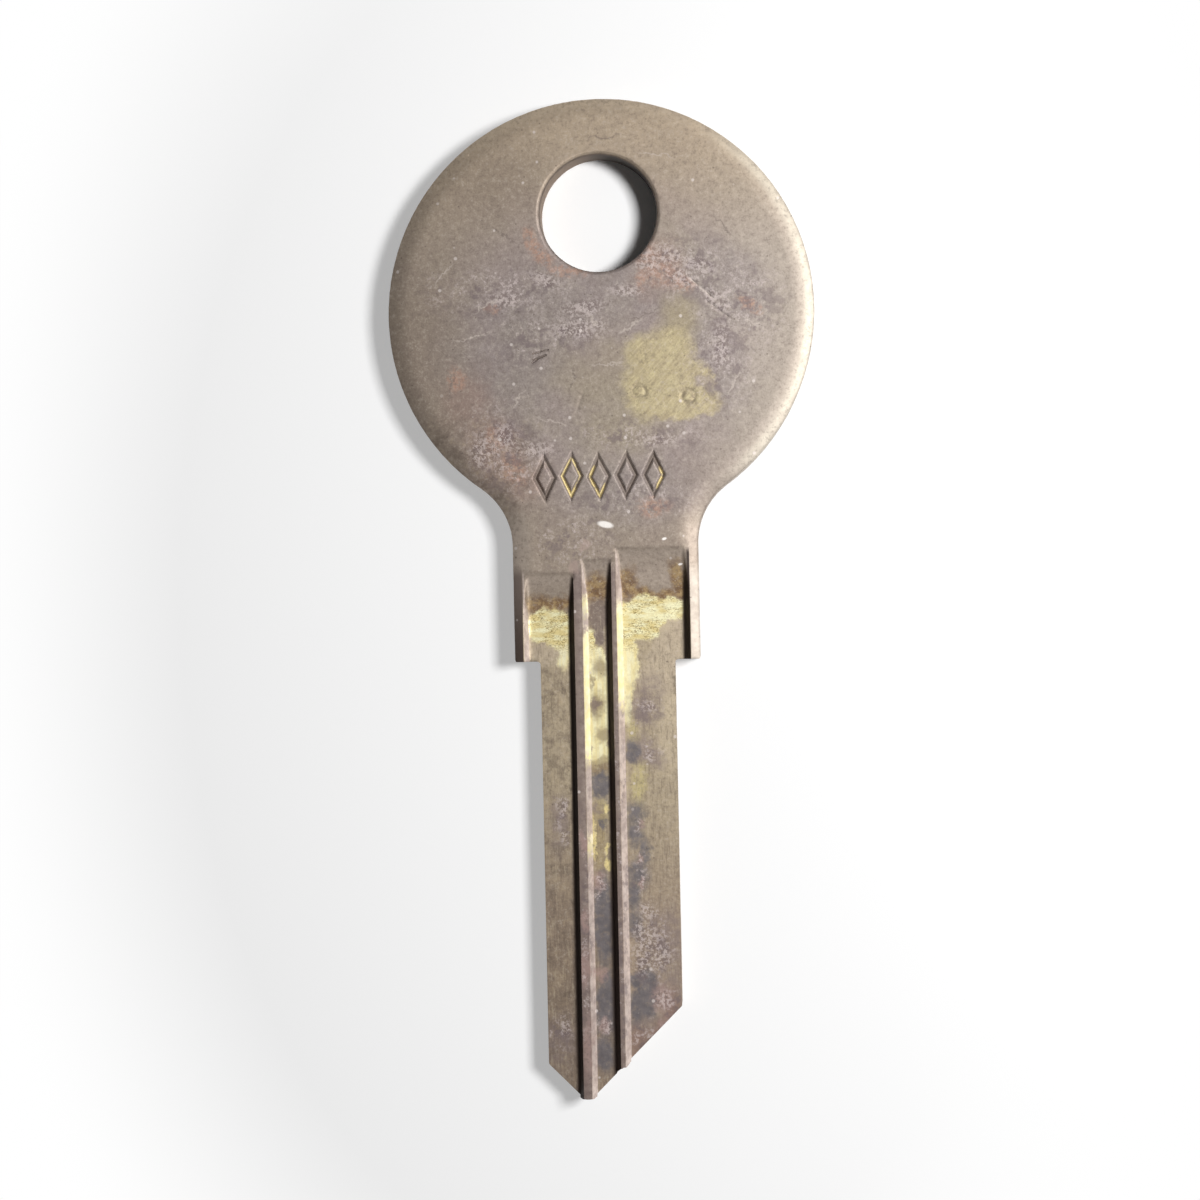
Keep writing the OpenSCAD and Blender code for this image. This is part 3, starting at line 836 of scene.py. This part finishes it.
def stain_blade(skin, sunk):
    """Mauve, brown and slate stains on the milled floors."""
    make = skin.make
    uneven = make.step(make.cloud(skin.solid, 0.45, 4, 0.7, 6.0), 0.36, 0.6, 0.35, 1.0)
    mauve = make.times(skin.ovals(MAUVE, skin.close, sunk), uneven)
    skin.coat(mauve, "mauve", 0.7, 0.5)
    skin.stain(TIP_BROWN, "tip's brown", 0.8, limit=sunk)
    slate = make.blend(skin.mottle, "pale slate", "dark slate")
    broken = make.step(make.cloud(skin.solid, 0.3, 3, 0.6, 14.0), 0.3, 0.52, 0.68, 1.0)
    skin.coat(make.times(skin.ovals(SLATE, skin.close, sunk), broken), slate, 0.92, 0.5)


def stain_back(skin):
    """The back, which lay on other blanks: clouds of violet and brown, scuffs of
    brass, and brass and grime in its grooves."""
    make = skin.make
    back = make.minus(1.0, skin.front)
    flat = make.times(make.step(skin.z, *BACK_FACE), back)
    clouds = make.cloud(skin.solid, 2.6, 4, 0.6, 51.0)
    skin.blotch(flat, clouds, (0.48, 0.62, "violet cloud", 0.6), (0.45, 0.32, "tan cloud", 0.6))
    brown = make.times(skin.ovals(BACK_BROWN, skin.broad, flat), make.step(clouds, 0.4, 0.58))
    skin.coat(brown, "back's brown", 0.6)
    scuffs = make.cloud(make.mapped(skin.solid, (1, 4, 1)), 0.6, 4, 0.7, 57.0)
    rubbed = make.times(skin.ovals(BACK_BRASS, skin.close, back), make.step(scuffs, 0.4, 0.56))
    worn = make.blend(skin.mottle, "rubbed brass", "rubbed bright")
    skin.coat(rubbed, worn, 0.8, 0.5)
    skin.blotch(flat, scuffs, (0.58, 0.66, "scuff", 0.5))
    deep = make.times(make.step(skin.z, *IN_BACK_GROOVE), make.step(skin.z, *UNDER_BACK_GROOVE), back)
    beside = make.times(make.step(skin.y, 5.2, 4.8), make.step(make.magnitude(skin.x), 2.4, 2.2))
    grimy = make.times(deep, beside, make.step(skin.mottle, 0.2, 0.9))
    skin.coat(grimy, "groove's grime", 0.55)


def on_flank(skin, edge, side, run_out, foot, fade):
    """Mask of the flank that falls from an edge to the right (side 1) or left (-1). foot
    and fade are where it begins and is full: beyond the flank's foot and the run-out."""
    make = skin.make
    out = make.group(FLANK_OUT, {"Place": skin.solid, "Edge": edge, "Side": side})
    begins, full = (-0.01, 0.05) if side > 0 else (0.03, -0.01)
    return make.times(
        make.step(out, *foot), make.step(skin.x, edge + begins, edge + full),
        make.step(skin.y, run_out + fade[0], run_out + fade[1]),
    )


def paint_ridge_light_and_wear(skin):
    """Painted light from the right on the ridges and lands: each ridge top is painted darker
    on its left and lighter on its right, the flanks that face right are painted pale as a
    highlight, with stretches of worn brass painted near white, the left land is painted
    dark as shade and the right land is painted bright as a highlight."""
    make = skin.make
    milled = make.times(make.step(skin.y, 5.6, 4.6), make.step(skin.z, *RIDGE_TOP))
    for left, right in (LEFT_RIDGE, RIGHT_RIDGE):
        top = make.times(
            make.step(skin.x, left - 0.05, left + 0.02), make.step(skin.x, right + 0.05, right - 0.02)
        )
        # Painted light: each ridge top goes from painted shade on its left to lighter on its right
        dull = make.blend(make.step(skin.x, left, right), "ridge's shaded left", "ridge's lit right")
        skin.coat(make.times(top, milled), make.blend(skin.mottle, dull, "ridge's mottle"), 0.8)
    below = make.times(make.step(skin.z, *LIT_FLANK), skin.front)
    worn_y = make.plus(skin.y, make.times(make.minus(skin.mottle, 0.5), 0.7))
    # Painted highlight: the flanks that face right, towards the light, are painted pale
    pale = make.blend(skin.mottle, "lit flank", "lit flank's mottle")
    brass = make.blend(skin.mottle, "bare flank", "bare flank's mottle")
    for edge, run_out in (
        (LEFT_RIDGE[1], MIDDLE_RUN_OUT), (RIGHT_RIDGE[1], RIGHT_RUN_OUT), (-LAND_X, LEFT_RUN_OUT)
    ):
        flank = make.times(on_flank(skin, edge, 1.0, run_out, (0.06, 0.0), (0.1, -0.2)), below)
        skin.coat(flank, pale, 0.95, 0.15, 0.6)
        # Worn brass on these flanks, painted near white as a highlight
        for top, bottom, share in WORN_FLANKS.get(edge, []):
            bare = make.times(
                flank, make.step(worn_y, top + 0.4, top - 0.4), make.step(worn_y, bottom - 0.5, bottom + 0.5)
            )
            skin.coat(bare, brass, share, 0.3, 0.5)
    beside = make.times(make.step(skin.y, 5.4, 4.6), skin.front)
    # Painted shade: the left land faces away from the light and is painted dark, darkest at the bottom
    grime = make.blend(make.step(skin.y, 0.5, 4.5), "left land's shade", "left land's upper shade")
    shaded_left_land = make.times(make.step(skin.x, -LAND_X, -LAND_X - 0.06), beside)
    skin.coat(shaded_left_land, grime, 0.95, 0.6)
    # Painted highlight: the right land faces the light and is painted bright
    lit_land_tone = make.blend(skin.mottle, "lit land", "lit land's mottle")
    lit_right_land = make.times(make.step(skin.x, LAND_X, LAND_X + 0.06), beside)
    skin.coat(lit_right_land, lit_land_tone, 0.9, 0.2, 0.6)


def crust_and_specks(skin):
    """Pale crust in clumps, dark pits, light scratches, fine specks and the rims of the
    ring-shaped knocks. Returns the crust's mask."""
    make = skin.make
    where = skin.ovals(CRUSTED, skin.broad)
    clumps = make.cloud(skin.solid, 0.75, 5, 0.7, 21.0)
    flakes = make.cloud(skin.solid, 0.19, 4, 0.75, 33.0)
    skin.blotch(where, clumps, (0.49, 0.4, "pit", 0.6))
    pink = make.times(skin.ovals(PINK_CRUST, skin.close), make.step(flakes, 0.3, 0.5))
    skin.coat(pink, "pink crust", 0.7, 0.4)
    thick = skin.ovals(THICK_CRUST, skin.close)
    skin.blotch(thick, flakes, (0.5, 0.4, "crust's gap", 0.6))
    crust = make.times(make.step(clumps, 0.48, 0.6), make.step(flakes, 0.44, 0.62), where)
    crust = make.most([crust, make.times(thick, make.step(flakes, 0.47, 0.57))])
    skin.coat(crust, "pale crust", 0.62, 0.4, 0.65)
    skin.stain(LIGHT_SCRATCHES, "light scratch", 0.55)
    for scale, size, rare, shift, colour, share in SPECKS:
        dots = make.add("TexVoronoi", {
            "Vector": make.mapped(skin.solid, shift=(shift, 0, 0)), "Scale": scale,
        })
        near = make.step(dots.outputs["Distance"], size, 1.8 * size, 1.0, 0.0)
        picked = make.add("SeparateColor", {0: dots.outputs["Color"]}).outputs[0]
        skin.coat(make.times(near, make.step(picked, rare, rare + 0.03)), colour, share)
    for ring_x, ring_y, radius, _ in RINGS:
        away = make.distance(skin.close, (ring_x, ring_y, 0))
        ring = make.step(make.magnitude(make.minus(away, radius)), 0.14, 0.05)
        skin.coat(make.times(ring, skin.front), "ring", 0.5)
    skin.stain(SPOTS, "spot", 0.5)
    skin.stain(FLECKS, "white fleck", 0.95, 0.2, place=skin.flat)
    return crust


def paint_flank_shadows(skin):
    """Painted shadow on the flanks that face left, away from the light, and on the floor in
    the corners below them, and grime on the ring hole's wall, painted darker as shade
    towards its right side."""
    make = skin.make
    below = make.times(make.step(skin.z, *SHADED_FLANK), skin.front)
    # The painted shadow reaches farther out on the floor towards the tip
    reach = make.step(skin.y, -6, -16, 0.2, 0.34)
    for edge, run_out in (
        (LEFT_RIDGE[0], LEFT_RUN_OUT), (RIGHT_RIDGE[0], MIDDLE_RUN_OUT), (LAND_X, RIGHT_RUN_OUT)
    ):
        # Painted shadow on each flank that faces left and on the floor beside it
        flank_shadow = make.times(on_flank(skin, edge, -1.0, run_out, (reach, 0.02), (0, -0.4)), below)
        skin.coat(flank_shadow, "flank_shadow", 0.98, 0.0, 0.75)
    wall = make.distance(skin.solid, (0, HOLE_RISE, 0))
    inside = make.times(make.step(wall, HOLE_R + 0.2, HOLE_R + 0.1), make.step(skin.z, *HOLE_WALL))
    # Grime on the hole's wall, with painted shade darkening it towards its right side, which faces away from
    # the light
    grime = make.blend(make.step(skin.x, -1.5, 1.0), "hole's left", "hole's shaded right")
    skin.coat(inside, grime, 0.95, 0.3)


def fill_marks(skin):
    """Grime in what is struck or knocked into the bow, with brass showing in places."""
    make, y = skin.make, skin.y
    in_bow = make.step(make.distance(skin.solid, (0, BOW_RISE, 0)), 10.6, 10.3)
    in_neck = make.times(
        make.step(make.magnitude(skin.x), 4.1, 3.8), make.step(y, 6.3, 6.9), make.step(y, 14, 12)
    )
    inside = make.times(make.most([in_bow, in_neck]), make.step(skin.z, *ABOVE_SIDES))
    skin.coat(make.times(make.step(skin.z, *IN_MARK), inside), "mark's grime", 0.8, 0.5)
    lit = make.times(make.step(skin.z, *IN_BRIGHT_MARK), inside)
    skin.stain(BRIGHT_MARKS, "bright mark", 0.7, 0.8, limit=lit)


def tarnished_brass():
    material = bpy.data.materials.new("brass")
    material.use_nodes = True
    shader = material.node_tree.nodes["Principled BSDF"]
    make = Nodes(material.node_tree)
    skin = Skin(make)
    # Sunk milled floors, as against the ridges, the lands and the bow
    sunk = make.times(make.step(skin.z, *MILLED_FLOOR), skin.front)
    lay_tarnish(skin)
    stain_bow(skin)
    clean = bare_brass(skin, sunk)
    age(skin, clean)
    stain_blade(skin, sunk)
    stain_back(skin)
    paint_ridge_light_and_wear(skin)
    crust = crust_and_specks(skin)
    paint_flank_shadows(skin)
    fill_marks(skin)
    make.feed(shader.inputs["Base Color"], skin.colour)
    make.feed(shader.inputs["Metallic"], skin.metal)
    make.feed(shader.inputs["Roughness"], skin.roughness)
    # The crust stands up a little, and fine grain lies over everything
    height = make.plus(make.times(crust, 0.5), make.cloud(skin.solid, 0.12, 3, 0.6, 30.0))
    bump = make.add("Bump", {"Height": height, "Strength": 0.25, "Distance": BUMP_HEIGHT * MM})
    make.feed(shader.inputs["Normal"], bump.outputs[0])
    return material


blank = make_blank()
blank.data.materials.append(tarnished_brass())


# Floor, light and camera

# Metres: the floor's radius and the height of the low backdrop around it
FLOOR_R = 1.5
BACKDROP_H = 0.3
FLOOR_WHITE = 0.93
# Millimetres from the blank's middle at which the shadows begin to fade and are gone,
# and the same from the hole's middle, whose floor is only partly freed of shadow
BLANK_MIDDLE = (0, 3.4, 0)
SHADOW_FADE = (22, 60)
HOLE_FADE = (4, 7)
HOLE_FREED = 0.4
WORLD_STRENGTH = 0.06

# Camera: width of the frame at the front face, width of the sensor, distance, lean to
# the right and roll in degrees, nearest thing seen (in metres) and the point aimed at
FRAME_W = 65.6
SENSOR_W = 36
CAMERA_REACH = 120
CAMERA_LEAN = 3.2
CAMERA_ROLL = -1.2
NEAREST_SEEN = 0.01
AIM = Vector((-0.33, 3.33, STRIP_T))


def floor_mesh():
    """Round floor with a low backdrop that hides its end."""
    mesh = bpy.data.meshes.new("floor")
    bm = bmesh.new()
    bmesh.ops.create_circle(bm, cap_ends=True, segments=96, radius=FLOOR_R)
    bmesh.ops.create_cone(
        bm, cap_ends=False, segments=96, radius1=FLOOR_R, radius2=FLOOR_R, depth=BACKDROP_H,
        matrix=Matrix.Translation((0, 0, BACKDROP_H / 2)),
    )
    bm.to_mesh(mesh)
    bm.free()
    return mesh


def floor_paint():
    """White that keeps the shadows near the blank and turns plain white farther out,
    where the near lamp no longer lights it evenly."""
    material = bpy.data.materials.new("pale_floor")
    material.use_nodes = True
    nodes = material.node_tree.nodes
    matt = nodes["Principled BSDF"]
    matt.inputs["Base Color"].default_value = (FLOOR_WHITE, FLOOR_WHITE, FLOOR_WHITE, 1)
    matt.inputs["Roughness"].default_value = 0.9
    make = Nodes(material.node_tree)
    paths = make.add("LightPath").outputs
    seen = make.most([paths["Is Camera Ray"], paths["Is Glossy Ray"], paths["Is Transmission Ray"]])
    place = make.vector("SCALE", make.add("TexCoord").outputs["Object"], 1 / MM)
    away = make.step(make.distance(place, BLANK_MIDDLE, (1.6, 1, 1)), *SHADOW_FADE)
    from_hole = make.distance(place, (0, HOLE_RISE, 0))
    away = make.most([away, make.step(from_hole, *HOLE_FADE, 0.0, HOLE_FREED)])
    white = make.add("Emission", {"Color": (1, 1, 1, 1), "Strength": 1.0})
    mixed = make.add("MixShader", {0: make.times(seen, away), 1: matt.outputs[0], 2: white.outputs[0]})
    make.feed(nodes["Material Output"].inputs["Surface"], mixed.outputs[0])
    return material


def pale_floor():
    mesh = floor_mesh()
    mesh.materials.append(floor_paint())
    floor = bpy.data.objects.new("floor", mesh)
    bpy.context.scene.collection.objects.link(floor)


def softbox(name, bearing, height, distance, size, level):
    """Square light aimed at the part, from a bearing (0 is +X, 90 is +Y) and a height
    in degrees, with its distance and size in metres. level is the share of plain white
    that it gives the floor."""
    b, h = math.radians(bearing), math.radians(height)
    toward = Vector((math.cos(b) * math.cos(h), math.sin(b) * math.cos(h), math.sin(h)))
    light = bpy.data.lights.new(name, "AREA")
    light.size = size
    light.energy = level * math.pi ** 2 * distance ** 2 / toward.z
    lamp = bpy.data.objects.new(name, light)
    lamp.location = toward * distance
    lamp.rotation_euler = toward.to_track_quat("Z", "Y").to_euler()
    lamp.visible_camera = False
    bpy.context.scene.collection.objects.link(lamp)


def studio():
    pale_floor()
    softbox("key_light", bearing=16, height=54, distance=0.16, size=0.04, level=0.95)
    world = bpy.data.worlds.new("studio")
    world.use_nodes = True
    background = world.node_tree.nodes["Background"]
    background.inputs["Color"].default_value = (1, 1, 1, 1)
    background.inputs["Strength"].default_value = WORLD_STRENGTH
    bpy.context.scene.world = world
    bpy.context.scene.view_settings.view_transform = "Standard"


def place_camera():
    """Camera straight above, but for a slight lean to the right and a slight roll."""
    data = bpy.data.cameras.new("camera")
    data.lens = SENSOR_W * CAMERA_REACH / FRAME_W
    data.clip_start = NEAREST_SEEN
    camera = bpy.data.objects.new("camera", data)
    lean = Matrix.Rotation(math.radians(CAMERA_LEAN), 4, "Y")
    roll = Matrix.Rotation(math.radians(CAMERA_ROLL), 4, "Z")
    back = Matrix.Translation((0, 0, CAMERA_REACH * MM))
    camera.matrix_world = Matrix.Translation(AIM * MM) @ lean @ roll @ back
    bpy.context.scene.collection.objects.link(camera)
    bpy.context.scene.camera = camera


studio()
place_camera()
